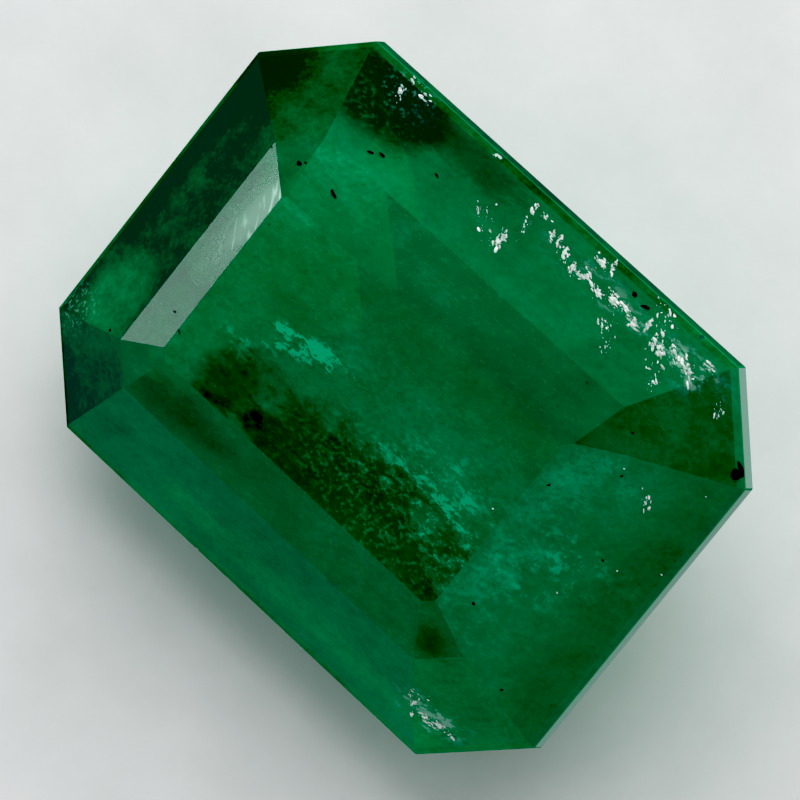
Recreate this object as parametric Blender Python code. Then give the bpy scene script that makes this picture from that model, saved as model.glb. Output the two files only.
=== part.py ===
"""A loose emerald, cut as an octagon with step facets, lying on one of its pavilion facets.

The stone is ground out of a rough block in its own frame: X along its length, Z out of its table,
and the top edge of the girdle at Z = 0. Lengths are in millimetres until the finished stone is
scaled to metres. It is then turned onto the facet that it lies on and set down on Z = 0.
"""

import math

import bmesh
import bpy
from mathutils import Matrix, Vector

MM = 0.001

# Outline at the girdle
LENGTH = 8.0
WIDTH = 6.07
CORNER_LEG = 1.04
GIRDLE_HEIGHT = 0.26

# The crown's lower two ledges, counted from the girdle up: how high each lies, and how far it is
# set in from the girdle at the ends, the long sides and the corners
CROWN_LEDGES = (
    {"height": 0.106, "end": 0.07, "side": 0.07, "corner": 0.07},
    {"height": 0.945, "end": 1.13, "side": 1.07, "corner": 1.12},
)
TABLE_HEIGHT = 1.263

# The pavilion's slopes on the long sides, in degrees from the table, and the widths of its steps
PAVILION_SLOPES = (60.0, 44.0, 30.0)
PAVILION_STEP_WIDTHS = (0.55, 0.90)
KEEL_LENGTH = 2.5
# The lowest corner facets run out in a point above the keel: how far in they would be at its depth
PAVILION_CORNER_INSET = 3.0

# The eight sides. Hand cutting leaves each one turned (degrees) and moved (mm) a little from its
# true place, and the table's edge at its own distance in from the girdle (mm).
SIDES = (
    {"kind": "end", "azimuth": 0.0, "turn": 0.1, "shift": 0.015, "table_inset": 1.74},
    {"kind": "corner", "azimuth": 45.0, "turn": -0.5, "shift": 0.06, "table_inset": 1.77},
    {"kind": "side", "azimuth": 90.0, "turn": 0.6, "shift": 0.02, "table_inset": 1.85},
    {"kind": "corner", "azimuth": 135.0, "turn": 0.5, "shift": 0.01, "table_inset": 1.80},
    {"kind": "end", "azimuth": 180.0, "turn": 1.0, "shift": 0.01, "table_inset": 1.71},
    {"kind": "corner", "azimuth": 225.0, "turn": 0.0, "shift": 0.0, "table_inset": 1.79},
    {"kind": "side", "azimuth": 270.0, "turn": -0.2, "shift": 0.01, "table_inset": 1.74},
    {"kind": "corner", "azimuth": 315.0, "turn": -0.9, "shift": 0.0, "table_inset": 1.80},
)
RESTING_AZIMUTH = 270.0

SNAP = 1e-4
ROUGH_MARGIN = 1.0
EMERALD_GREEN = (0.004, 0.16, 0.062, 1.0)
EMERALD_IOR = 1.577


def clear_scene():
    for obj in list(bpy.data.objects):
        bpy.data.objects.remove(obj, do_unlink=True)


def girdle_distance(kind):
    """How far a side's plane lies from the stone's axis at the girdle."""
    if kind == "end":
        return LENGTH / 2
    if kind == "side":
        return WIDTH / 2
    return (LENGTH / 2 + WIDTH / 2 - CORNER_LEG) / math.sqrt(2)


def level_ledge(height, inset):
    """A ledge that is set in by the same amount all round."""
    return {"height": height, "end": inset, "side": inset, "corner": inset}


def crown_ledges(side):
    """One side's ledges from the girdle up to the table."""
    table = level_ledge(TABLE_HEIGHT, side["table_inset"])
    return (level_ledge(0.0, 0.0),) + CROWN_LEDGES + (table,)


def pavilion_ledges():
    """The ledges from the girdle's lower edge down to the keel."""
    half_width = WIDTH / 2
    first, second = PAVILION_STEP_WIDTHS
    slopes = [math.tan(math.radians(slope)) for slope in PAVILION_SLOPES]
    top = -GIRDLE_HEIGHT
    ledge_one = top - first * slopes[0]
    ledge_two = ledge_one - second * slopes[1]
    keel = ledge_two - (half_width - first - second) * slopes[2]
    keel_end = LENGTH / 2 - KEEL_LENGTH / 2
    return (
        level_ledge(top, 0.0),
        level_ledge(ledge_one, first),
        level_ledge(ledge_two, first + second),
        {"height": keel, "end": keel_end, "side": half_width, "corner": PAVILION_CORNER_INSET},
    )


def grind(stone, point, normal):
    """Takes off all that lies outside the plane, and closes the cut with one flat facet."""
    everything = stone.verts[:] + stone.edges[:] + stone.faces[:]
    cut = bmesh.ops.bisect_plane(
        stone, geom=everything, dist=SNAP, plane_co=point, plane_no=normal, clear_outer=True
    )
    rim = [item for item in cut["geom_cut"] if isinstance(item, bmesh.types.BMEdge) and item.is_boundary]
    if rim:
        bmesh.ops.edgeloop_fill(stone, edges=rim)


def side_normal(side):
    """The level direction that a side faces."""
    azimuth = math.radians(side["azimuth"] + side["turn"])
    return Vector((math.cos(azimuth), math.sin(azimuth), 0.0))


def side_point(side, inset, height):
    """The point of a side's ledge that is nearest to the stone's axis."""
    distance = girdle_distance(side["kind"]) + side["shift"] - inset
    azimuth = math.radians(side["azimuth"])
    point = Vector((math.cos(azimuth), math.sin(azimuth), 0.0)) * distance
    point.z = height
    return point


def facet_between(side, near, far, upwards):
    """A point of the facet between two ledges of one side, and the way the facet faces."""
    across = far[side["kind"]] - near[side["kind"]]
    rise = abs(far["height"] - near["height"])
    slope = math.atan2(rise, across)
    normal = side_normal(side) * math.sin(slope)
    normal.z = math.cos(slope) * (1.0 if upwards else -1.0)
    return side_point(side, near[side["kind"]], near["height"]), normal


def cut_stone():
    """The whole stone as a mesh, in its own frame and in millimetres."""
    stone = bmesh.new()
    rough = Matrix.Diagonal((LENGTH + ROUGH_MARGIN, WIDTH + ROUGH_MARGIN, 2 * LENGTH, 1.0))
    bmesh.ops.create_cube(stone, size=1.0, matrix=rough)
    grind(stone, Vector((0.0, 0.0, TABLE_HEIGHT)), Vector((0.0, 0.0, 1.0)))
    for side in SIDES:
        grind(stone, side_point(side, 0.0, 0.0), side_normal(side))
    for side in SIDES:
        crown = crown_ledges(side)
        for near, far in zip(crown, crown[1:]):
            grind(stone, *facet_between(side, near, far, upwards=True))
    pavilion = pavilion_ledges()
    for side in SIDES:
        for near, far in zip(pavilion, pavilion[1:]):
            grind(stone, *facet_between(side, near, far, upwards=False))
    bmesh.ops.remove_doubles(stone, verts=stone.verts[:], dist=10 * SNAP)
    bmesh.ops.recalc_face_normals(stone, faces=stone.faces[:])
    mesh = bpy.data.meshes.new("emerald")
    stone.to_mesh(mesh)
    stone.free()
    return mesh


def resting_turn():
    """The turn that lays the facet beside the keel flat on the ground, on one long side."""
    side = next(side for side in SIDES if side["azimuth"] == RESTING_AZIMUTH)
    near, far = pavilion_ledges()[2:]
    _, normal = facet_between(side, near, far, upwards=False)
    return normal.rotation_difference(Vector((0.0, 0.0, -1.0))).to_matrix().to_4x4()


def set_down(mesh):
    """Turns the stone onto its facet, centres it over the origin and scales it to metres."""
    mesh.transform(resting_turn())
    low = Vector([min(vertex.co[axis] for vertex in mesh.vertices) for axis in range(3)])
    high = Vector([max(vertex.co[axis] for vertex in mesh.vertices) for axis in range(3)])
    middle = (low + high) / 2
    mesh.transform(Matrix.Translation((-middle.x, -middle.y, -low.z)))
    mesh.transform(Matrix.Scale(MM, 4))


def beryl():
    material = bpy.data.materials.new("polished beryl")
    material.use_nodes = True
    shader = material.node_tree.nodes["Principled BSDF"]
    shader.inputs["Base Color"].default_value = EMERALD_GREEN
    shader.inputs["Roughness"].default_value = 0.03
    shader.inputs["Metallic"].default_value = 0.0
    shader.inputs["IOR"].default_value = EMERALD_IOR
    shader.inputs["Transmission Weight"].default_value = 0.8
    return material


def main():
    clear_scene()
    collection = bpy.data.collections.new("cut emerald")
    bpy.context.scene.collection.children.link(collection)
    mesh = cut_stone()
    set_down(mesh)
    mesh.materials.append(beryl())
    collection.objects.link(bpy.data.objects.new("emerald", mesh))


main()
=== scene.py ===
import logging
import math
import random
from dataclasses import dataclass
from enum import Enum

import bmesh
import bpy
from mathutils import Euler, Matrix, Vector


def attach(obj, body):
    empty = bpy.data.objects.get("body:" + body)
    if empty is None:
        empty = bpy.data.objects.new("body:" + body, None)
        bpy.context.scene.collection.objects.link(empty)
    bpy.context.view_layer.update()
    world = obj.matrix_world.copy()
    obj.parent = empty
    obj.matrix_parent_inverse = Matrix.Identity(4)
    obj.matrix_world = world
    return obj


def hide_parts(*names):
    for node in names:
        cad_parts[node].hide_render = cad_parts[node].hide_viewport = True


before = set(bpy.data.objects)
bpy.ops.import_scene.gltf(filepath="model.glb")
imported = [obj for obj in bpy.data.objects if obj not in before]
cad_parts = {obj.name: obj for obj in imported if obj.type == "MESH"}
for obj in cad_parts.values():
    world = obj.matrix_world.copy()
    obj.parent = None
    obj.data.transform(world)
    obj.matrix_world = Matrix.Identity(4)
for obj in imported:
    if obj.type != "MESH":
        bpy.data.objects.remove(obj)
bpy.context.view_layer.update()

LOG = logging.getLogger("emerald")

MM = 0.001
BODY = "root"
NODE = "emerald"


class Side(Enum):
    """The eight sides of the outline, by the way each faces in the stone's frame, in degrees."""

    EAST = 0
    NORTH_EAST = 45
    NORTH = 90
    NORTH_WEST = 135
    WEST = 180
    SOUTH_WEST = 225
    SOUTH = 270
    SOUTH_EAST = 315


class Band(Enum):
    """The rows of facets, from the table down."""

    TABLE = "table"
    STEP = "step"
    SLOPE = "slope"
    RIM = "rim"
    GIRDLE = "girdle"
    PAVILION = "pavilion"
    EDGE = "edge"


def linear(code: str) -> tuple[float, float, float, float]:
    """Turns an sRGB hex colour into the linear colour that Blender's sockets take.

    Args:
        code: six hex digits, with or without a leading hash.

    Returns:
        Linear red, green and blue, and an alpha of 1.
    """
    code = code.lstrip("#")
    parts = [int(code[i:i + 2], 16) / 255.0 for i in (0, 2, 4)]
    lit = [c / 12.92 if c <= 0.04045 else ((c + 0.055) / 1.055) ** 2.4 for c in parts]
    return (lit[0], lit[1], lit[2], 1.0)


def add_node(
    tree: bpy.types.NodeTree, kind: str, inputs: dict | None = None, **settings: object
) -> bpy.types.Node:
    """Adds one node, with its settings and what feeds its inputs.

    Args:
        tree: the node tree that gets the node.
        kind: Blender's name for the kind of node.
        inputs: a value or another node's output for each input, by name or number.
        **settings: the node's own properties.

    Returns:
        The new node.
    """
    node = tree.nodes.new(kind)
    for name, value in settings.items():
        setattr(node, name, value)
    for key, value in (inputs or {}).items():
        if isinstance(value, bpy.types.NodeSocket):
            tree.links.new(value, node.inputs[key])
        else:
            node.inputs[key].default_value = value
    return node


@dataclass(frozen=True)
class StoneFrame:
    """The stone's own frame: millimetres, long axis along X, table facing +Z, girdle at Z 0."""

    turn: tuple = (
        (0.999998, -0.000468, -0.001745),
        (-0.000468, 0.866027, -0.499997),
        (0.001745, 0.499997, 0.866025),
    )
    shift: tuple = (0.0125, -0.07708, 2.60041)

    def to_row(self) -> Matrix:
        """Returns the matrix from stone millimetres to the row frame in metres."""
        turn = Matrix(self.turn).to_4x4()
        return Matrix.Scale(MM, 4) @ Matrix.Translation(Vector(self.shift)) @ turn

    def coordinates(self, tree: bpy.types.NodeTree) -> bpy.types.NodeSocket:
        """Adds the nodes that give stone millimetres from Object coordinates.

        Args:
            tree: a material's node tree.

        Returns:
            The socket with the position in stone millimetres.
        """
        place = add_node(tree, "ShaderNodeTexCoord")
        turned = add_node(
            tree,
            "ShaderNodeMapping",
            {
                "Vector": place.outputs["Object"],
                "Location": Vector(self.shift) * MM,
                "Rotation": Matrix(self.turn).to_euler(),
                "Scale": (MM, MM, MM),
            },
            vector_type="TEXTURE",
        )
        return turned.outputs["Vector"]


STONE = StoneFrame()


@dataclass(frozen=True)
class Patterns:
    """Node patterns drawn in stone millimetres."""

    tree: bpy.types.NodeTree
    coords: bpy.types.NodeSocket

    def math(
        self, operation: str, first: object, second: object = 0.0, third: object = 0.5
    ) -> bpy.types.NodeSocket:
        """Adds one sum of two or three values.

        Args:
            operation: Blender's name for the sum.
            first: the first value or socket.
            second: the second one.
            third: the third one; a comparison takes it as how near the two must be.

        Returns:
            The sum's output.
        """
        node = add_node(
            self.tree, "ShaderNodeMath", {0: first, 1: second, 2: third}, operation=operation
        )
        return node.outputs[0]

    def spread(
        self, value: object, low: float, high: float, to_low: float, to_high: float
    ) -> bpy.types.NodeSocket:
        """Moves a value smoothly from one range to another.

        Args:
            value: the value or socket to move.
            low: where the old range starts.
            high: where the old range ends.
            to_low: what the old start becomes.
            to_high: what the old end becomes.

        Returns:
            The moved value, held inside the new range.
        """
        node = add_node(
            self.tree,
            "ShaderNodeMapRange",
            {
                "Value": value,
                "From Min": low,
                "From Max": high,
                "To Min": to_low,
                "To Max": to_high,
            },
            interpolation_type="SMOOTHSTEP",
        )
        return node.outputs["Result"]

    def noise(
        self, stretch: tuple, scale: float, detail: float = 4.0, rough: float = 0.6,
        turned: float = 0.0,
    ) -> bpy.types.NodeSocket:
        """Adds a cloudy noise.

        Args:
            stretch: how tight the noise is along the stone's X, Y and Z.
            scale: waves in a millimetre.
            detail: how many finer layers it has.
            rough: how strong the finer layers are.
            turned: how far the pattern is turned about the stone's Z, in radians.

        Returns:
            The noise, about 0.5 on the average.
        """
        placed = add_node(
            self.tree,
            "ShaderNodeMapping",
            {
                "Vector": self.coords,
                "Rotation": (0.0, 0.0, turned),
                "Scale": [1.0 / tight for tight in stretch],
            },
            vector_type="TEXTURE",
        )
        node = add_node(
            self.tree,
            "ShaderNodeTexNoise",
            {
                "Vector": placed.outputs["Vector"],
                "Scale": scale,
                "Detail": detail,
                "Roughness": rough,
            },
        )
        return node.outputs["Fac"]

    def zone(self, zone: "Zone", swing: bpy.types.NodeSocket) -> bpy.types.NodeSocket:
        """Adds a soft egg-shaped region.

        Args:
            zone: its place, size and softness.
            swing: the noise about 0 that moves its edge.

        Returns:
            1 inside, 0 outside.
        """
        if zone.turned:
            placed = add_node(
                self.tree,
                "ShaderNodeMapping",
                {
                    "Vector": self.coords,
                    "Location": zone.centre,
                    "Rotation": (0.0, 0.0, zone.turned),
                    "Scale": zone.radii,
                },
                vector_type="TEXTURE",
            )
        else:
            placed = add_node(
                self.tree,
                "ShaderNodeVectorMath",
                {
                    0: self.coords,
                    1: [1.0 / radius for radius in zone.radii],
                    2: [-middle / radius for middle, radius in zip(zone.centre, zone.radii)],
                },
                operation="MULTIPLY_ADD",
            )
        far = add_node(
            self.tree, "ShaderNodeVectorMath", {0: placed.outputs["Vector"]}, operation="LENGTH"
        ).outputs["Value"]
        far = self.math("MULTIPLY_ADD", swing, zone.ragged, far)
        return self.spread(far, 1.0 - zone.soft, 1.0 + zone.soft, 1.0, 0.0)


@dataclass(frozen=True)
class PolishedBeryl:
    """Beryl, ground and polished: glass-clear green crystal, dimmed from within by fine clouds.

    Real beryl has an IOR of 1.57 to 1.58. The polish gives sharp reflections, and the chromium in
    it takes out the red and most of the blue on the light's way through.
    """

    ior: float = 1.577
    # Polishing leaves a roughness of 0.02 to 0.06, and grinding adds 0.5 to it.
    polish: tuple = (0.024, 0.064)
    grinding: float = 0.5
    # What a millimetre of the crystal takes out, in red, green and blue.
    absorbed: tuple = (1.1, 0.13, 0.30)
    # The polish reflects its surroundings with little red, as the green body under it does.
    sheen: str = "#194f45"
    # Colours of the clouding, from clear and dark to milky. The level that picks them also carries
    # painted light and shade: each facet's own tone, and the painted shade in the table's window.
    tones: tuple = (
        (0.0, "#022e0a"), (0.1, "#034c1a"), (0.28, "#046c30"), (0.45, "#048645"),
        (0.6, "#059651"), (0.75, "#07a865"), (1.0, "#2fe4a2"),
    )
    # The pale film colour, which is also the painted highlight on the bright step.
    ground: str = "#9cc4b2"
    # Share of the light that the clouding scatters, from where it is clear to where it is milky.
    haze: tuple = (0.3, 0.48)
    # How strongly tubes, clouds, veils and bubbles sway the clouding.
    sway: tuple = (0.35, 0.45, 0.45, 0.3)
    # Pits of 0.005 mm are drawn up to 0.045 mm wide, or the render would lose them.
    pits_in_mm: float = 4.0
    pit_edge: tuple = (0.02, 0.09)
    pit_depth: float = 0.004
    pit_strength: float = 0.03

    def material(self) -> bpy.types.Material:
        """Builds the material.

        Returns:
            One glass with its haze, streaks, fine pits and ground girdle.
        """
        made = bpy.data.materials.new("polished_beryl")
        made.use_nodes = True
        tree = made.node_tree
        shader, out = tree.nodes["Principled BSDF"], tree.nodes["Material Output"]
        shader.inputs["IOR"].default_value = self.ior
        shader.inputs["Specular Tint"].default_value = linear(self.sheen)
        draw = Patterns(tree, STONE.coordinates(tree))
        # The per-facet level: cloudiness, with painted light and shade set facet by facet.
        milk_and_facet_shade = add_node(tree, "ShaderNodeAttribute", attribute_name="milk_and_facet_shade").outputs["Fac"]
        rubbed = add_node(tree, "ShaderNodeAttribute", attribute_name="rubbed").outputs["Fac"]
        matt = add_node(tree, "ShaderNodeAttribute", attribute_name="matt").outputs["Fac"]
        facet = add_node(tree, "ShaderNodeAttribute", attribute_name="facet").outputs["Fac"]
        # Growth tubes run along the long axis, about 0.3 mm apart, and veils of tiny bubbles
        # cross them. The bubbles are drawn at 0.07 mm, because finer ones would not show.
        tubes = draw.noise((0.4, 1.5, 1.5), 1.9, rough=0.7)
        cloud = draw.noise((0.8, 1.0, 1.0), 0.75, 2.0, 0.55, 0.3)
        veil = draw.noise((0.9, 1.3, 1.3), 3.2, rough=0.72, turned=0.5)
        bubbles = draw.noise((1.0, 1.2, 1.2), 15.0, 2.0)
        lace = draw.noise((0.7, 1.5, 1.5), 4.5, rough=0.75)
        tear = draw.noise((0.8, 1.4, 1.4), 1.6, rough=0.7)
        rubs = draw.noise((2.4, 0.3, 1.0), 4.5, 2.0, turned=0.72)
        level = milk_and_facet_shade
        for wave, strength in zip((tubes, cloud, veil, bubbles), self.sway):
            level = draw.math("MULTIPLY_ADD", draw.math("SUBTRACT", wave, 0.5), strength, level)
        marks = {
            Mark.SMOOTH: None,
            Mark.LACE: draw.spread(lace, 0.5, 0.62, 0.0, 1.0),
            Mark.SPARKS: draw.spread(bubbles, 0.53, 0.66, 0.0, 1.0),
            Mark.RUBS: draw.spread(rubs, 0.38, 0.66, 0.1, 1.0),
        }
        # A thin pale film: the ground girdle and crushed crystal round the fractures, and on the
        # bright step's rubs a painted highlight.
        film_and_highlight = rubbed
        swing = draw.math("SUBTRACT", tear, 0.5)
        seen = {
            where: draw.math("COMPARE", facet, facet_code(*where))
            for where in dict.fromkeys(zone.facet for zone in ZONES if zone.facet)
        }
        for zone in ZONES:
            mask = draw.zone(zone, swing)
            if zone.facet:
                mask = draw.math("MULTIPLY", mask, seen[zone.facet])
            if marks[zone.mark] is not None:
                mask = draw.math("MULTIPLY", mask, marks[zone.mark])
            # A negative shift darkens the tone, which in the table's window is painted shade.
            if zone.milk_and_shade_shift:
                level = draw.math("MULTIPLY_ADD", mask, zone.milk_and_shade_shift, level)
            if zone.paler:
                film_and_highlight = draw.math("MAXIMUM", film_and_highlight, draw.math("MULTIPLY", mask, zone.paler))
        colour = add_node(tree, "ShaderNodeValToRGB", {"Fac": level})
        stops = colour.color_ramp.elements
        stops[0].position, stops[0].color = self.tones[0][0], linear(self.tones[0][1])
        stops[1].position, stops[1].color = self.tones[-1][0], linear(self.tones[-1][1])
        for place, tone in self.tones[1:-1]:
            stops.new(place).color = linear(tone)
        # The pale film colour is mixed in here, with the painted highlight on the bright step.
        # A Mix node's colour sockets come after its number and vector ones.
        worn = add_node(
            tree,
            "ShaderNodeMix",
            {0: film_and_highlight, 6: colour.outputs["Color"], 7: linear(self.ground)},
            data_type="RGBA",
        )
        tree.links.new(worn.outputs[2], shader.inputs["Base Color"])
        haze = draw.spread(level, 0.0, 1.0, self.haze[0], self.haze[1])
        haze = draw.math("MAXIMUM", draw.math("MAXIMUM", haze, film_and_highlight), matt)
        # The dulled rims have no gloss, and a whole polish has the usual half.
        shine = draw.math("MULTIPLY", draw.math("SUBTRACT", 1.0, matt), 0.5)
        tree.links.new(shine, shader.inputs["Specular IOR Level"])
        tree.links.new(draw.math("SUBTRACT", 1.0, haze), shader.inputs["Transmission Weight"])
        polished = draw.spread(veil, 0.3, 0.7, *self.polish)
        gloss = draw.math("MULTIPLY_ADD", rubbed, self.grinding, polished)
        tree.links.new(gloss, shader.inputs["Roughness"])
        pits = add_node(
            tree,
            "ShaderNodeTexVoronoi",
            {"Vector": draw.coords, "Scale": self.pits_in_mm},
            feature="F1",
        )
        pitted = draw.spread(pits.outputs["Distance"], *self.pit_edge, 0.0, 1.0)
        bump = add_node(
            tree,
            "ShaderNodeBump",
            {
                "Strength": self.pit_strength,
                "Distance": self.pit_depth * MM,
                "Height": pitted,
            },
        )
        tree.links.new(bump.outputs["Normal"], shader.inputs["Normal"])
        red, green, blue = self.absorbed
        volume = add_node(
            tree,
            "ShaderNodeVolumeAbsorption",
            {"Color": (0.0, 1.0 - green / red, 1.0 - blue / red, 1.0), "Density": red / MM},
        )
        tree.links.new(volume.outputs["Volume"], out.inputs["Volume"])
        return made


@dataclass(frozen=True)
class FeatherWhite:
    """A healed or open fracture in beryl: thin air gaps and crushed crystal that look white."""

    hue: str = "#f4faf6"
    dull: str = "#a9c9ba"
    roughness: float = 0.35
    name: str = "feather_white"
    shine: float = 0.5

    def material(self) -> bpy.types.Material:
        """Builds the material.

        Returns:
            A colour broken up by fine noise.
        """
        made = bpy.data.materials.new(self.name)
        made.use_nodes = True
        tree = made.node_tree
        shader = tree.nodes["Principled BSDF"]
        shader.inputs["Specular IOR Level"].default_value = self.shine
        draw = Patterns(tree, STONE.coordinates(tree))
        grain = draw.noise((1.0, 1.0, 1.0), 14.0, 3.0)
        tone = add_node(tree, "ShaderNodeValToRGB", {"Fac": grain})
        stops = tone.color_ramp.elements
        stops[0].position, stops[0].color = 0.35, linear(self.dull)
        stops[1].position, stops[1].color = 0.6, linear(self.hue)
        tree.links.new(tone.outputs["Color"], shader.inputs["Base Color"])
        tree.links.new(
            draw.spread(grain, 0.3, 0.7, self.roughness, self.roughness * 1.6),
            shader.inputs["Roughness"],
        )
        return made


@dataclass(frozen=True)
class StudioFloor:
    """Matt white laminate board: no gloss to speak of, with faint blotches from handling."""

    bright: str = "#ececed"
    faint: str = "#e0e2e2"
    roughness: float = 0.75

    def material(self) -> bpy.types.Material:
        """Builds the material.

        Returns:
            The board's near-white with its blotches, a few millimetres across.
        """
        made = bpy.data.materials.new("matt_board")
        made.use_nodes = True
        tree = made.node_tree
        shader = tree.nodes["Principled BSDF"]
        place = add_node(tree, "ShaderNodeTexCoord")
        blotch = add_node(
            tree,
            "ShaderNodeTexNoise",
            {"Vector": place.outputs["Object"], "Scale": 0.45 / MM, "Detail": 5.0, "Roughness": 0.6},
        )
        tone = add_node(tree, "ShaderNodeValToRGB", {"Fac": blotch.outputs["Fac"]})
        stops = tone.color_ramp.elements
        stops[0].position, stops[0].color = 0.3, linear(self.faint)
        stops[1].position, stops[1].color = 0.7, linear(self.bright)
        tree.links.new(tone.outputs["Color"], shader.inputs["Base Color"])
        shader.inputs["Roughness"].default_value = self.roughness
        shader.inputs["Specular IOR Level"].default_value = 0.2
        return made


class Mark(Enum):
    """How a zone is filled."""

    SMOOTH = "smooth"
    LACE = "lace"
    SPARKS = "sparks"
    RUBS = "rubs"


@dataclass(frozen=True)
class Zone:
    """A place where the crystal is cloudier, clearer or paler, in stone millimetres; the table's
    dark window is painted shade, and the pale patch on the bright step is a painted highlight.

    The facet limits it, because each facet looks into another part of the stone.
    """

    centre: tuple
    radii: tuple
    milk_and_shade_shift: float = 0.0
    facet: tuple[Side, Band] | None = None
    turned: float = 0.0
    soft: float = 0.5
    ragged: float = 1.0
    mark: Mark = Mark.SMOOTH
    paler: float = 0.0


def facet_code(side: Side, band: Band) -> float:
    """Returns the number that marks a facet's faces."""
    return float(list(Band).index(band) * 8 + side.value // 45)


TABLE = (Side.EAST, Band.TABLE)
ZONES = (
    # The clear window under the lower half of the table, darkened as painted shade for the shadowed
    # floor seen through it, with pale veils over its top.
    Zone((0.78, -1.07, 1.26), (1.75, 0.64, 0.6), -0.43, TABLE, 0.0, 0.4, 2.8),
    Zone((-1.32, -0.9, 1.26), (0.42, 0.5, 0.6), -0.37, TABLE, 0.0, 0.45, 2.6),
    Zone((1.15, -0.85, 1.26), (1.5, 0.6, 0.6), 0.3, TABLE, 0.0, 0.5, 1.0, Mark.SPARKS),
    Zone((1.3, -0.6, 1.26), (1.3, 0.45, 0.6), 0.32, TABLE, 0.0, 0.6, 1.0, Mark.LACE),
    Zone((1.6, -0.1, 1.26), (0.9, 0.4, 0.6), 0.2, TABLE, 0.0, 0.6, 1.0, Mark.LACE),
    Zone((-1.0, -0.06, 1.26), (0.6, 0.15, 0.4), 0.85, TABLE, 0.2, 0.6, 1.2, Mark.LACE),
    Zone((-0.5, 0.06, 1.26), (0.3, 0.1, 0.4), 0.3, TABLE, 0.0, 0.6, 1.2, Mark.LACE),
    Zone((-1.45, -0.5, 1.26), (0.45, 0.2, 0.4), 0.34, TABLE, 0.3, 0.6, 1.4, Mark.LACE),
    Zone((0.9, 1.02, 1.26), (1.3, 0.4, 0.6), -0.06, TABLE),
    Zone((1.7, 0.25, 1.26), (0.9, 0.6, 0.6), 0.05, TABLE),
    # The dark patches under the upper corner, and the teal band that runs between them.
    Zone((-2.4, 2.66, 0.4), (0.85, 0.5, 0.6), -0.54, (Side.NORTH, Band.SLOPE), 0.0, 0.4),
    Zone((-1.4, 2.85, 0.3), (1.2, 0.2, 0.5), -0.3, (Side.NORTH, Band.SLOPE)),
    Zone((-2.3, 2.7, 0.4), (0.6, 0.4, 0.6), 0.22, (Side.NORTH, Band.SLOPE), 0.0, 0.5, 1.0,
         Mark.SPARKS),
    Zone((-2.3, 1.7, 1.05), (0.8, 0.5, 0.6), 0.24, None, 0.0, 0.8),
    Zone((-3.75, 2.0, 0.2), (0.4, 0.7, 0.4), -0.22, None, 0.0, 0.6),
    # The west end is dark from its middle to its upper corner, and milky at its lower one.
    Zone((-3.35, -1.35, 0.54), (0.5, 0.5, 0.5), 0.34, (Side.WEST, Band.SLOPE), 0.0, 0.7, 2.2),
    Zone((-3.9, 0.6, 0.15), (0.25, 2.4, 0.4), -0.14, (Side.WEST, Band.SLOPE)),
    Zone((2.48, -1.66, 1.0), (0.2, 0.16, 0.4), -0.32, None, 0.0, 0.7, 2.4),
    Zone((3.85, -0.5, 0.15), (0.5, 2.2, 0.6), -0.22, (Side.EAST, Band.SLOPE), 0.0, 0.7),
    Zone((2.4, 0.2, 1.1), (0.3, 1.4, 0.6), 0.1, (Side.EAST, Band.STEP), 0.0, 0.8),
    Zone((0.3, -2.0, 0.92), (3.2, 0.4, 0.5), -0.1, (Side.SOUTH, Band.SLOPE), 0.0, 0.8),
    Zone((3.2, 0.2, 0.6), (0.9, 0.35, 0.6), 0.2, None, 0.0, 0.5, 1.0, Mark.LACE),
    Zone((2.7, -0.3, 0.9), (0.9, 0.4, 0.6), 0.14, None, 0.0, 0.6, 1.0, Mark.LACE),
    Zone((-1.75, -1.65, 1.0), (0.9, 0.24, 0.5), -0.3, (Side.SOUTH, Band.STEP)),
    Zone((-3.0, -2.5, 0.4), (0.8, 0.6, 0.6), -0.12),
    # Crushed crystal round the open fractures.
    Zone((1.3, 2.74, 0.3), (1.1, 0.15, 0.4), 0.2, None, 0.0, 0.5, 1.0, Mark.LACE, 0.5),
    Zone((2.6, 2.72, 0.3), (0.55, 0.2, 0.4), 0.3, None, 0.0, 0.6, 1.0, Mark.LACE, 0.75),
    Zone((2.82, -2.46, 0.3), (0.48, 0.24, 0.4), 0.3, None, 0.0, 0.6, 1.0, Mark.LACE, 0.75),
    Zone((-2.2, 2.85, 0.2), (0.35, 0.2, 0.4), 0.2, None, 0.0, 0.6, 1.0, Mark.SPARKS, 0.3),
    Zone((-3.7, -1.8, 0.2), (0.35, 0.3, 0.4), 0.2, None, 0.0, 0.6, 1.0, Mark.SPARKS, 0.3),
    # Rubs from handling on the bright step, filled with the pale film colour, and a pale patch over
    # them: painted highlight for the bright end of the lamp's reflection there.
    Zone((-2.4, 0.85, 1.19), (0.22, 0.8, 0.6), 0.0, (Side.WEST, Band.STEP), -0.12, 0.7, 0.5,
         Mark.RUBS, 1.0),
    Zone((-2.42, 0.85, 1.19), (0.26, 0.85, 0.6), 0.0, (Side.WEST, Band.STEP), -0.12, 0.8, 0.3,
         Mark.SMOOTH, 0.6),
)


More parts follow.
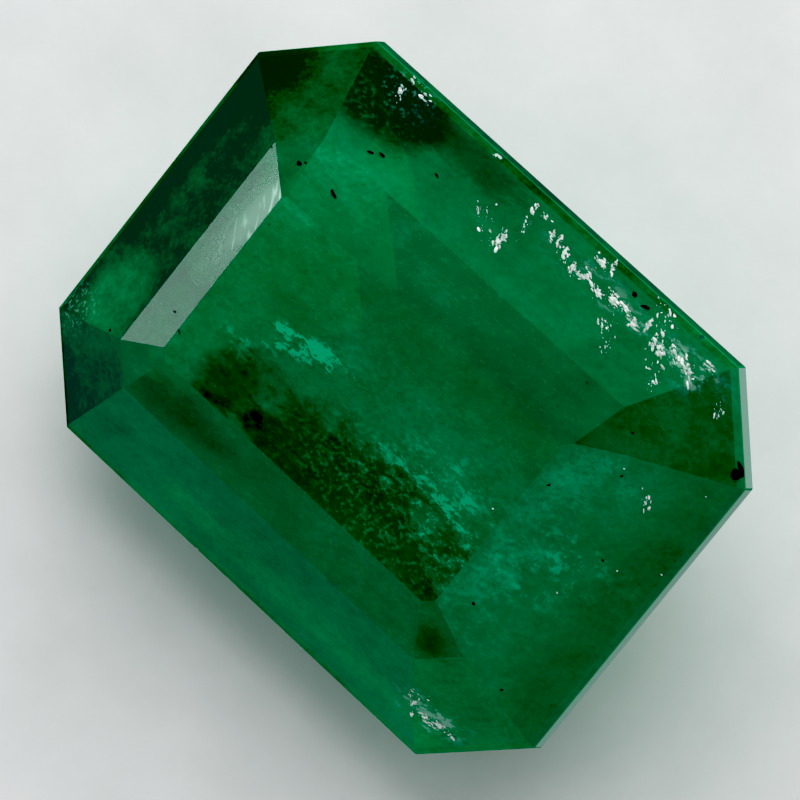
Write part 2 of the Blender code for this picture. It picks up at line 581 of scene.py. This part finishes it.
@dataclass
class CutStone:
    """The stone's own surface: facets, softened edges, chips and the ground girdle."""

    bevel: float = 0.014
    weld: float = 0.002
    chip_seed: int = 41

    # How much of the girdle's fine grinding was left on: most of it at the east end.
    ground: float = 0.85
    worn: float = 0.06

    def facet_milk_and_shade(self, side: Side, band: Band) -> float:
        """Tells how cloudy the crystal looks through a facet, with painted light and shade: each
        facet gets its own lighter or darker tone for how light falls through it.

        Args:
            side: the facet's side of the outline.
            band: its row.

        Returns:
            From 0 for clear and dark to 1 for milky.
        """
        slope = {
            Side.EAST: 0.66, Side.NORTH_EAST: 0.32, Side.NORTH: 0.5, Side.NORTH_WEST: 0.12,
            Side.WEST: 0.03, Side.SOUTH_WEST: 0.14, Side.SOUTH: 0.52, Side.SOUTH_EAST: 0.44,
        }
        step = {
            Side.EAST: 0.7, Side.NORTH_EAST: 0.34, Side.NORTH: 0.5, Side.NORTH_WEST: 0.4,
            Side.WEST: 0.4, Side.SOUTH_WEST: 0.56, Side.SOUTH: 0.56, Side.SOUTH_EAST: 0.54,
        }
        rim = {
            Side.EAST: 0.5, Side.NORTH_EAST: 0.6, Side.SOUTH: 0.4, Side.SOUTH_EAST: 0.4,
        }
        corner = side.value % 90 != 0
        return {
            Band.TABLE: 0.64, Band.STEP: step[side], Band.SLOPE: slope[side],
            Band.RIM: rim.get(side, 0.16),
            Band.GIRDLE: 0.1, Band.PAVILION: 0.75 if corner else 0.95, Band.EDGE: 0.4,
        }[band]

    def mattness(self, side: Side, band: Band) -> float:
        """Tells how much of a facet is dulled by fine scratches.

        Args:
            side: the facet's side of the outline.
            band: its row.

        Returns:
            From 0 for none of it to 1 for all of it.
        """
        if band is Band.SLOPE:
            return {
                Side.WEST: 0.85, Side.SOUTH_WEST: 0.85, Side.SOUTH: 0.6, Side.SOUTH_EAST: 0.8,
                Side.NORTH_WEST: 0.7,
            }.get(side, 0.5)
        if band in (Band.RIM, Band.GIRDLE, Band.EDGE):
            bright = band is Band.RIM and side in (Side.EAST, Side.NORTH_EAST)
            return 0.5 if bright else 1.0
        return 0.4 if band is Band.STEP and side is not Side.WEST else 0.0

    def band(self, normal: Vector) -> tuple[Side, Band]:
        """Names the facet that faces one way.

        Args:
            normal: the facet's normal in the stone's frame.

        Returns:
            Its side of the outline and its row.
        """
        tilt = math.degrees(math.acos(max(-1.0, min(1.0, normal.z))))
        facing = math.degrees(math.atan2(normal.y, normal.x)) % 360.0
        side = Side(int(round(facing / 45.0)) % 8 * 45)
        for limit, name in (
            (8.0, Band.TABLE), (33.0, Band.STEP), (48.0, Band.SLOPE), (75.0, Band.RIM),
            (100.0, Band.GIRDLE), (181.0, Band.PAVILION),
        ):
            if tilt < limit:
                return side, name
        return side, Band.PAVILION

    def facets(self) -> bmesh.types.BMesh:
        """Returns the CAD solid as whole facets, in stone millimetres."""
        bm = bmesh.new()
        bm.from_mesh(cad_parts[NODE].data)
        bm.transform(STONE.to_row().inverted())
        bmesh.ops.remove_doubles(bm, verts=bm.verts[:], dist=self.weld)
        bmesh.ops.dissolve_limit(
            bm, angle_limit=math.radians(0.4), verts=bm.verts[:], edges=bm.edges[:]
        )
        bmesh.ops.recalc_face_normals(bm, faces=bm.faces[:])
        return bm

    def planes(self) -> list[tuple[Vector, float]]:
        """Returns each facet's normal and its distance from the stone frame's origin."""
        bm = self.facets()
        found = [(f.normal.copy(), f.normal.dot(f.calc_center_median())) for f in bm.faces]
        bm.free()
        return found

    def build(self, beryl: bpy.types.Material, chips: list["Chip"]) -> bpy.types.Object:
        """Makes the stone that is seen in place of the CAD node.

        Args:
            beryl: the material of the whole stone.
            chips: the bits knocked off its edges.

        Returns:
            The finished object, with its place in its mesh.
        """
        bm = self.facets()
        milk_and_facet_shade = bm.faces.layers.float.new("milk_and_facet_shade")
        rubbed = bm.faces.layers.float.new("rubbed")
        facet = bm.faces.layers.float.new("facet")
        matt = bm.faces.layers.float.new("matt")
        for face in bm.faces:
            side, band = self.band(face.normal)
            side = Side.EAST if band is Band.TABLE else side
            face[facet] = facet_code(side, band)
            # Each facet's level is partly painted light and shade, for how light falls through that
            # facet.
            face[milk_and_facet_shade] = self.facet_milk_and_shade(side, band)
            face[matt] = self.mattness(side, band)
            # The east end's girdle was left as ground, and the rest of it was polished.
            ground = self.ground if side in (Side.EAST, Side.NORTH_EAST) else self.worn
            face[rubbed] = ground if band is Band.GIRDLE else 0.0
        blunt = {e for f in bm.faces if self.band(f.normal)[1] is Band.GIRDLE for e in f.edges}
        edges = bmesh.ops.bevel(
            bm, geom=list(blunt), offset=self.bevel, segments=1, profile=0.5,
            affect="EDGES", clamp_overlap=True,
        )
        for face in edges["faces"]:
            face[facet] = facet_code(Side.EAST, Band.EDGE)
            face[milk_and_facet_shade] = self.facet_milk_and_shade(Side.EAST, Band.EDGE)
            face[matt] = self.mattness(Side.EAST, Band.EDGE)
            face[rubbed] = self.worn
        mesh = bpy.data.meshes.new("stone")
        bm.to_mesh(mesh)
        bm.free()
        mesh.materials.append(beryl)
        stone = bpy.data.objects.new("stone", mesh)
        bpy.context.scene.collection.objects.link(stone)
        self.knock(stone, beryl, chips)
        stone.data.transform(STONE.to_row())
        for polygon in stone.data.polygons:
            polygon.use_smooth = False
        return stone

    def knock(
        self, stone: bpy.types.Object, beryl: bpy.types.Material, chips: list["Chip"]
    ) -> None:
        """Cuts the chips out of the stone with one boolean.

        Args:
            stone: the stone, still in millimetres.
            beryl: the material of the fresh break.
            chips: what to cut away.
        """
        bm = bmesh.new()
        milk_and_facet_shade = bm.faces.layers.float.new("milk_and_facet_shade")
        rubbed = bm.faces.layers.float.new("rubbed")
        facet = bm.faces.layers.float.new("facet")
        dice = random.Random(self.chip_seed)
        for chip in chips:
            made = bmesh.ops.create_icosphere(bm, subdivisions=1, radius=1.0)["verts"]
            spin = Euler([dice.uniform(-math.pi, math.pi) for _ in range(3)]).to_matrix()
            for v in made:
                grown = v.co * dice.uniform(0.82, 1.12)
                grown = spin @ Vector((grown.x, grown.y * 0.8, grown.z * 0.55))
                v.co = Vector(chip.place) + grown * chip.size
            for face in {f for v in made for f in v.link_faces}:
                face[milk_and_facet_shade] = chip.milk_and_facet_shade
                face[rubbed] = chip.rubbed
                face[facet] = facet_code(Side.EAST, Band.EDGE)
        bmesh.ops.recalc_face_normals(bm, faces=bm.faces[:])
        mesh = bpy.data.meshes.new("chips")
        bm.to_mesh(mesh)
        bm.free()
        mesh.materials.append(beryl)
        tool = bpy.data.objects.new("chips", mesh)
        bpy.context.scene.collection.objects.link(tool)
        cut = stone.modifiers.new("chips", "BOOLEAN")
        cut.operation, cut.solver, cut.object, cut.use_self = "DIFFERENCE", "EXACT", tool, True
        graph = bpy.context.evaluated_depsgraph_get()
        whole = bpy.data.meshes.new_from_object(stone.evaluated_get(graph), depsgraph=graph)
        stone.modifiers.clear()
        old, stone.data = stone.data, whole
        bpy.data.objects.remove(tool)
        bpy.data.meshes.remove(old)
        bpy.data.meshes.remove(mesh)


@dataclass(frozen=True)
class Chip:
    """A bit broken off an edge: where, how big in millimetres, and how its break looks."""

    place: tuple
    size: float
    milk_and_facet_shade: float = 0.7
    rubbed: float = 0.35


@dataclass
class StoneShape:
    """Where the stone's surface lies, for placing what is in it and on it."""

    planes: list[tuple[Vector, float]]

    def top(self, x: float, y: float) -> float:
        """Returns the crown's height over one place, in stone millimetres."""
        return min((far - n.x * x - n.y * y) / n.z for n, far in self.planes if n.z > 0.1)

    def holds(self, point: Vector, margin: float = 0.03) -> bool:
        """Returns whether a point lies in the stone, clear of its surface."""
        return all(n.dot(point) < far - margin for n, far in self.planes)


@dataclass(frozen=True)
class Grain:
    """One speck, flake or needle: middle, half sizes and the way its length lies."""

    place: Vector
    size: Vector
    along: Vector


@dataclass
class GrainTree:
    """The node tree that turns points into rough specks, flakes or needles."""

    name: str = "grown_grains"
    group: bpy.types.NodeTree | None = None

    def build(self) -> None:
        """Builds the tree with its named inputs."""
        tree = bpy.data.node_groups.new(self.name, "GeometryNodeTree")
        tree.is_modifier = True
        face = tree.interface
        face.new_socket("Geometry", in_out="INPUT", socket_type="NodeSocketGeometry")
        for label, kind, value in (
            ("Facet Rounds", "NodeSocketInt", 1),
            ("Raggedness", "NodeSocketFloat", 0.5),
            ("Ragged Scale", "NodeSocketFloat", 20.0),
            ("Seed", "NodeSocketInt", 1),
        ):
            face.new_socket(label, in_out="INPUT", socket_type=kind).default_value = value
        face.new_socket("Material", in_out="INPUT", socket_type="NodeSocketMaterial")
        face.new_socket("Geometry", in_out="OUTPUT", socket_type="NodeSocketGeometry")
        given = add_node(tree, "NodeGroupInput").outputs
        along = add_node(
            tree, "GeometryNodeInputNamedAttribute", {"Name": "along"}, data_type="FLOAT_VECTOR"
        ).outputs["Attribute"]
        size = add_node(
            tree, "GeometryNodeInputNamedAttribute", {"Name": "size"}, data_type="FLOAT_VECTOR"
        ).outputs["Attribute"]
        lie = add_node(
            tree, "FunctionNodeAlignRotationToVector", {"Vector": along}, axis="X"
        ).outputs["Rotation"]
        roll = add_node(
            tree,
            "FunctionNodeRandomValue",
            {2: -math.pi, 3: math.pi, "Seed": given["Seed"]},
            data_type="FLOAT",
        ).outputs[1]
        spin = add_node(
            tree, "FunctionNodeAxisAngleToRotation", {"Axis": (1.0, 0.0, 0.0), "Angle": roll}
        ).outputs["Rotation"]
        rolled = add_node(
            tree,
            "FunctionNodeRotateRotation",
            {"Rotation": lie, "Rotate By": spin},
            rotation_space="LOCAL",
        ).outputs["Rotation"]
        ball = add_node(
            tree,
            "GeometryNodeMeshIcoSphere",
            {"Radius": 1.0, "Subdivisions": given["Facet Rounds"]},
        ).outputs["Mesh"]
        placed = add_node(
            tree,
            "GeometryNodeInstanceOnPoints",
            {"Points": given["Geometry"], "Instance": ball, "Rotation": rolled, "Scale": size},
        ).outputs["Instances"]
        whole = add_node(
            tree, "GeometryNodeRealizeInstances", {"Geometry": placed}
        ).outputs["Geometry"]
        wave = add_node(
            tree,
            "ShaderNodeTexNoise",
            {"Scale": given["Ragged Scale"], "Detail": 2.0},
        ).outputs["Color"]
        centred = add_node(
            tree, "ShaderNodeVectorMath", {0: wave, 1: (0.5, 0.5, 0.5)}, operation="SUBTRACT"
        ).outputs["Vector"]
        sized = add_node(
            tree, "ShaderNodeVectorMath", {0: centred, 1: size}, operation="MULTIPLY"
        ).outputs["Vector"]
        offset = add_node(
            tree,
            "ShaderNodeVectorMath",
            {0: sized, "Scale": given["Raggedness"]},
            operation="SCALE",
        ).outputs["Vector"]
        moved = add_node(
            tree, "GeometryNodeSetPosition", {"Geometry": whole, "Offset": offset}
        ).outputs["Geometry"]
        dressed = add_node(
            tree, "GeometryNodeSetMaterial", {"Geometry": moved, "Material": given["Material"]}
        ).outputs["Geometry"]
        add_node(tree, "NodeGroupOutput", {"Geometry": dressed})
        self.group = tree

    def grow(
        self, name: str, grains: list[Grain], material: bpy.types.Material, rounds: int = 1,
        raggedness: float = 1.0, ragged_scale: float = 14.0, seed: int = 1,
    ) -> bpy.types.Object:
        """Turns a list of grains into one plain mesh.

        Args:
            name: the piece's name.
            grains: what to grow, in stone millimetres.
            material: what the grains look like.
            rounds: how finely each grain is faceted.
            raggedness: how far each surface is broken up, as a share of its size.
            ragged_scale: how fine that breaking up is, in waves a millimetre.
            seed: the seed of each grain's roll.

        Returns:
            The finished piece, with its place in its mesh.
        """
        mesh = bpy.data.meshes.new(name)
        mesh.from_pydata([g.place for g in grains], [], [])
        for label, values in (
            ("size", [g.size for g in grains]), ("along", [g.along for g in grains])
        ):
            layer = mesh.attributes.new(label, "FLOAT_VECTOR", "POINT")
            layer.data.foreach_set("vector", [c for v in values for c in v])
        piece = bpy.data.objects.new(name, mesh)
        bpy.context.scene.collection.objects.link(piece)
        modifier = piece.modifiers.new("grains", "NODES")
        modifier.node_group = self.group
        wanted = {
            "Facet Rounds": rounds, "Raggedness": raggedness, "Ragged Scale": ragged_scale,
            "Seed": seed, "Material": material,
        }
        for item in self.group.interface.items_tree:
            if item.in_out == "INPUT" and item.name in wanted:
                modifier[item.identifier] = wanted[item.name]
        graph = bpy.context.evaluated_depsgraph_get()
        whole = bpy.data.meshes.new_from_object(piece.evaluated_get(graph), depsgraph=graph)
        piece.modifiers.clear()
        piece.data = whole
        bpy.data.meshes.remove(mesh)
        whole.name = name
        whole.transform(STONE.to_row())
        return piece


@dataclass
class Inclusions:
    """What the crystal grew with: feathers, wisps, mist, needles and dark grains."""

    shape: StoneShape
    tree: GrainTree
    seed: int = 7

    # Clumps of open fracture: place in stone millimetres, how wide, how many crumbs.
    FEATHER_CLUMPS = (
        (-0.54, 2.46, 0.05, 7), (-0.09, 2.38, 0.09, 26), (-0.02, 2.66, 0.08, 8),
        (-0.11, 2.86, 0.06, 8), (0.03, 2.89, 0.06, 9), (0.28, 2.79, 0.06, 14),
        (0.41, 2.78, 0.06, 16), (0.57, 2.73, 0.06, 14), (0.75, 2.69, 0.07, 18),
        (0.87, 2.68, 0.06, 14), (0.95, 2.75, 0.07, 12), (0.93, 2.92, 0.08, 18),
        (1.07, 2.97, 0.06, 10), (1.17, 2.68, 0.08, 22), (1.37, 2.73, 0.08, 26),
        (1.54, 2.76, 0.07, 16), (1.76, 2.69, 0.07, 14), (1.91, 2.76, 0.06, 12),
        (2.11, 2.68, 0.08, 16), (2.24, 2.67, 0.09, 22), (2.35, 2.76, 0.07, 12),
        (2.53, 2.73, 0.09, 16), (2.67, 2.72, 0.1, 22), (2.79, 2.89, 0.06, 8),
        (3.21, 2.57, 0.08, 9), (-2.27, 2.78, 0.07, 7), (-2.32, 3.0, 0.04, 4),
        (-2.07, 2.93, 0.07, 6), (-0.93, 3.0, 0.04, 5), (2.66, -2.51, 0.12, 9),
        (2.84, -2.54, 0.1, 9), (2.99, -2.53, 0.08, 6), (2.64, -2.34, 0.1, 5),
        (3.14, -2.53, 0.06, 4), (3.31, 1.27, 0.08, 8), (2.4, 2.45, 0.15, 14),
        (1.6, 2.5, 0.2, 16), (-0.35, 2.42, 0.2, 12), (2.0, 2.95, 0.25, 20),
    )
    # Lone bright dots, where a tube reaches the polish.
    FEATHER_DOTS = (
        (3.76, 1.72), (2.11, 0.10), (2.94, 1.45), (3.91, 0.63), (3.54, 0.37), (3.21, -0.26),
    )

    def feathers(self, material: bpy.types.Material) -> bpy.types.Object:
        """Makes the white crumbs of the fractures that reach the surface.

        Args:
            material: what the crumbs look like.

        Returns:
            The finished piece.
        """
        dice = random.Random(self.seed)
        grains = []
        for x, y, wide, count in self.FEATHER_CLUMPS:
            lie = Vector((dice.uniform(0.4, 1.0), dice.uniform(-1.0, 0.2), 0.0)).normalized()
            across = Vector((-lie.y, lie.x, 0.0))
            for _ in range(count * 3):
                spot = Vector((x, y, 0.0)) + lie * dice.gauss(0.0, wide * 0.75)
                spot += across * dice.gauss(0.0, wide * 0.3)
                girth = 0.004 + 0.036 * dice.random() ** 3.0
                spot.z = self.shape.top(spot.x, spot.y) - dice.uniform(-0.1, 1.0) * girth
                grain = Grain(
                    spot,
                    Vector((girth * dice.uniform(0.8, 2.0), girth * 0.7, girth * 0.35)),
                    (lie + Vector((0.0, 0.0, dice.gauss(0.0, 0.3)))).normalized(),
                )
                if self.shape.holds(spot - Vector((0.0, 0.0, 0.08)), 0.02):
                    grains.append(grain)
        for x, y in self.FEATHER_DOTS:
            girth = dice.uniform(0.009, 0.014)
            grains.append(Grain(
                Vector((x, y, self.shape.top(x, y))),
                Vector((girth * 1.3, girth, girth * 0.6)), Vector((1.0, 0.0, 0.0)),
            ))
        return self.tree.grow("surface_feathers", grains, material, 2, 1.6, 22.0, 3)

    def wisps(self, material: bpy.types.Material) -> bpy.types.Object:
        """Makes the pale flakes that hang under the table.

        Args:
            material: what the flakes look like.

        Returns:
            The finished piece.
        """
        dice = random.Random(self.seed + 1)
        grains = []
        # Each run of flakes: where it starts and ends, how wide it is, how many flakes it has
        # and how big they get, in stone millimetres.
        runs = (
            ((-1.25, -0.2, 0.55), (-0.5, 0.05, 0.55), 0.06, 60, 0.09),
            ((-2.0, -0.7, 0.6), (-1.2, -0.2, 0.55), 0.08, 34, 0.05),
            ((-0.5, 0.05, 0.5), (0.4, -0.1, 0.4), 0.12, 40, 0.05),
            ((-0.99, -1.05, 0.5), (-0.54, -1.29, 0.5), 0.04, 18, 0.035),
            ((3.45, 0.35, 0.13), (2.81, -0.18, 0.1), 0.08, 22, 0.04),
            ((3.20, -0.23, 0.1), (2.31, -0.50, 0.36), 0.08, 22, 0.04),
            ((-1.75, -1.54, 0.6), (-1.0, -1.7, 0.6), 0.06, 14, 0.035),
            ((1.20, -2.06, 0.32), (1.9, -2.2, 0.3), 0.07, 16, 0.04),
            ((0.2, -0.8, 0.4), (2.1, -0.43, 0.4), 0.28, 120, 0.03),
        )
        for start, end, spread, count, biggest in runs:
            a, b = Vector(start), Vector(end)
            for _ in range(count):
                spot = a.lerp(b, dice.random()) + Vector(
                    [dice.gauss(0.0, spread) for _ in range(3)]
                )
                girth = biggest * dice.uniform(0.2, 1.0) ** 1.5
                if self.shape.holds(spot, 0.08):
                    grains.append(Grain(
                        spot,
                        Vector((girth * dice.uniform(1.2, 2.6), girth * 0.5, girth * 0.25)),
                        Vector((1.0, dice.gauss(0.15, 0.3), dice.gauss(0.0, 0.3))).normalized(),
                    ))
        return self.tree.grow("inner_wisps", grains, material, 1, 1.1, 22.0, 4)

    def mist(self, material: bpy.types.Material) -> bpy.types.Object:
        """Makes the dust of tiny bubbles and tubes all through the crystal.

        Args:
            material: what the dust looks like.

        Returns:
            The finished piece.
        """
        dice = random.Random(self.seed + 2)
        grains = []
        for _ in range(5200):
            spot = Vector((
                dice.gauss(0.4, 2.0), dice.gauss(-0.1, 1.4), dice.uniform(-1.6, 1.15)
            ))
            if not self.shape.holds(spot, 0.06):
                continue
            girth = 0.0045 + 0.011 * dice.random() ** 3
            grains.append(Grain(
                spot,
                Vector((girth * dice.uniform(1.0, 4.5), girth, girth)),
                Vector((1.0, dice.gauss(0.0, 0.15), dice.gauss(0.0, 0.15))).normalized(),
            ))
        return self.tree.grow("inner_mist", grains, material, 1, 0.4, 40.0, 5)

    def dark_grains(self, material: bpy.types.Material) -> bpy.types.Object:
        """Makes the black specks of other minerals, near the surface.

        Args:
            material: what the specks look like.

        Returns:
            The finished piece.
        """
        dice = random.Random(self.seed + 3)
        # The specks that can be told apart: place and girth in stone millimetres.
        seen = (
            (-1.89, 1.56, 0.055), (-2.46, 1.54, 0.035), (-1.96, 2.16, 0.035),
            (-1.84, 2.22, 0.04), (-1.2, 2.44, 0.03), (-2.41, 1.6, 0.02),
            (-2.90, 1.43, 0.02), (1.70, 2.90, 0.05), (1.50, 2.92, 0.035), (1.95, 1.93, 0.02),
            (2.74, 1.84, 0.02), (2.97, 1.36, 0.02), (2.43, 0.75, 0.022), (3.36, 0.38, 0.02),
            (3.40, -1.62, 0.02), (2.61, -0.95, 0.022), (-3.07, -1.60, 0.02), (3.80, 2.22, 0.07),
            (3.83, 2.13, 0.07), (-2.25, -0.92, 0.025), (-2.48, -0.8, 0.02),
        )
        grains = [Grain(
            Vector((x, y, self.shape.top(x, y) + 0.2 * girth)),
            Vector((girth * 1.4, girth * 0.95, girth * 0.35)),
            Vector((1.0, dice.gauss(0.0, 0.4), dice.gauss(0.0, 0.2))).normalized(),
        ) for x, y, girth in seen]
        for _ in range(120):
            x, y = dice.uniform(-3.7, 3.7), dice.uniform(-2.7, 2.7)
            spot = Vector((x, y, self.shape.top(x, y) - dice.uniform(0.03, 0.8)))
            girth = dice.uniform(0.008, 0.02)
            if self.shape.holds(spot, 0.02):
                grains.append(Grain(
                    spot, Vector((girth * 1.6, girth, girth)), Vector((1.0, 0.0, 0.0))
                ))
        return self.tree.grow("dark_grains", grains, material, 1, 1.0, 30.0, 6)


@dataclass
class Studio:
    """Floor, lights, surroundings and camera."""

    lens: float = 1000.0
    film_and_highlight: float = 36.0
    pixel: float = 0.011882
    side: int = 800
    centre_x: float = 398.33
    centre_y: float = 397.94
    right: tuple = (0.70832, 0.70584, 0.0083)
    up: tuple = (-0.65617, 0.65405, 0.37637)
    back: tuple = (0.26022, -0.27204, 0.92643)
    # The bright step mirrors a small lamp that stands low, beyond the west end.
    strip_mirror: tuple = (-0.93, -0.347, 0.121)
    strip_size: float = 0.02
    strip_far: float = 0.15
    strip_radiance: float = 9.5
    # The window light hangs high over the north side, turned and raised by these degrees.
    window_turned: float = 125.0
    window_raised: float = 50.0
    window_size: float = 0.13
    window_far: float = 0.09
    window_radiance: float = 1.75
    ambient: float = 0.5
    # What the picture shows as black, in red, green and blue.
    black: tuple = (0.038, 0.016, 0.012)

    def target(self) -> Vector:
        """Returns the point that the middle of the picture shows, in metres."""
        middle = self.side / 2.0
        return (
            Vector(STONE.shift)
            + Vector(self.right) * (middle - self.centre_x) * self.pixel
            - Vector(self.up) * (middle - self.centre_y) * self.pixel
        ) * MM

    def camera(self) -> bpy.types.Object:
        """Makes the camera at the photograph's viewing angle.

        Returns:
            The camera, which the scene then uses.
        """
        data = bpy.data.cameras.new("camera")
        data.lens, data.sensor_width = self.lens, self.film_and_highlight
        data.clip_start, data.clip_end = 0.005, 5.0
        seen = bpy.data.objects.new("camera", data)
        bpy.context.scene.collection.objects.link(seen)
        back = Vector(self.back).normalized()
        right = Vector(self.up).cross(back).normalized()
        up = back.cross(right)
        far = self.side * self.pixel * MM / self.film_and_highlight * self.lens
        axes = Matrix((right, up, back)).transposed().to_4x4()
        seen.matrix_world = Matrix.Translation(self.target() + back * far) @ axes
        bpy.context.scene.camera = seen
        return seen

    def floor(self) -> bpy.types.Object:
        """Makes the pale board that the stone lies on.

        Returns:
            The board, which is stage and no part of the object.
        """
        bm = bmesh.new()
        bmesh.ops.create_grid(bm, x_segments=2, y_segments=2, size=0.25)
        mesh = bpy.data.meshes.new("floor")
        bm.to_mesh(mesh)
        bm.free()
        mesh.materials.append(StudioFloor().material())
        board = bpy.data.objects.new("floor", mesh)
        bpy.context.scene.collection.objects.link(board)
        return board

    def lamp(self, name: str, way: Vector, far: float, size: float, radiance: float) -> None:
        """Hangs a round soft light.

        Args:
            name: its name.
            way: the direction it hangs in from the stone.
            far: how far off, in metres.
            size: how wide, in metres.
            radiance: how bright its face is.
        """
        data = bpy.data.lights.new(name, "AREA")
        data.shape, data.size = "DISK", size
        data.energy = radiance * math.pi * math.pi * (size / 2.0) ** 2
        hung = bpy.data.objects.new(name, data)
        bpy.context.scene.collection.objects.link(hung)
        way = way.normalized()
        hung.location = Vector((0.0, 0.0, 2.0 * MM)) + way * far
        hung.rotation_euler = way.to_track_quat("Z", "Y").to_euler()
        hung.visible_camera = False

    def surroundings(self) -> None:
        """Sets an even pale light from all round."""
        world = bpy.data.worlds.new("studio")
        bpy.context.scene.world = world
        world.use_nodes = True
        light = world.node_tree.nodes["Background"]
        light.inputs["Color"].default_value = (1.0, 1.0, 1.0, 1.0)
        light.inputs["Strength"].default_value = self.ambient

    def build(self) -> None:
        """Builds the studio."""
        self.floor()
        self.camera()
        self.surroundings()
        az, el = math.radians(self.window_turned), math.radians(self.window_raised)
        above = Vector((math.cos(az) * math.cos(el), math.sin(az) * math.cos(el), math.sin(el)))
        self.lamp("window", above, self.window_far, self.window_size, self.window_radiance)
        mirrored = Vector(self.strip_mirror)
        self.lamp("strip", mirrored, self.strip_far, self.strip_size, self.strip_radiance)
        view = bpy.context.scene.view_settings
        view.view_transform = "Standard"
        view.use_curve_mapping = True
        view.curve_mapping.black_level = self.black
        view.curve_mapping.update()
        cycles = bpy.context.scene.cycles
        cycles.max_bounces, cycles.transmission_bounces = 6, 6
        cycles.glossy_bounces, cycles.diffuse_bounces = 4, 2


def finish_piece(piece: bpy.types.Object, *nodes: str) -> None:
    """Lets a piece ride on the stone's body, and hides the CAD nodes that it stands for.

    Args:
        piece: the finished piece.
        *nodes: the CAD nodes that it stands for.
    """
    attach(piece, BODY)
    if nodes:
        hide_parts(*nodes)
    LOG.info("%s: %d faces", piece.name, len(piece.data.polygons))


def main() -> None:
    """Builds the stone, what is in it, and the studio, in order."""
    logging.basicConfig(level=logging.INFO, format="%(name)s %(message)s")
    beryl = PolishedBeryl().material()
    white = FeatherWhite().material()
    mist = FeatherWhite("#bfe6d4", "#7fc0a2", 0.5, "mist_bubbles").material()
    black = FeatherWhite("#080a06", "#030402", 0.7, "dark_mineral", 0.1).material()
    cut = CutStone()
    shape = StoneShape(cut.planes())
    chips = [
        Chip((-0.75, -3.06, 0.02), 0.09),
        Chip((2.43, 3.05, 0.04), 0.07),
        Chip((1.7, 3.06, 0.03), 0.05),
        Chip((3.86, 2.19, 0.05), 0.1, 0.0, 0.0),
        Chip((-2.28, -0.91, 1.29), 0.06),
    ]
    stone = cut.build(beryl, chips)
    stone.name = "cut_stone"
    finish_piece(stone, NODE)
    tree = GrainTree()
    tree.build()
    inside = Inclusions(shape, tree)
    for piece in (
        inside.feathers(white), inside.wisps(white), inside.mist(mist), inside.dark_grains(black)
    ):
        finish_piece(piece)
    Studio().build()


if __name__ == "__main__":
    main()
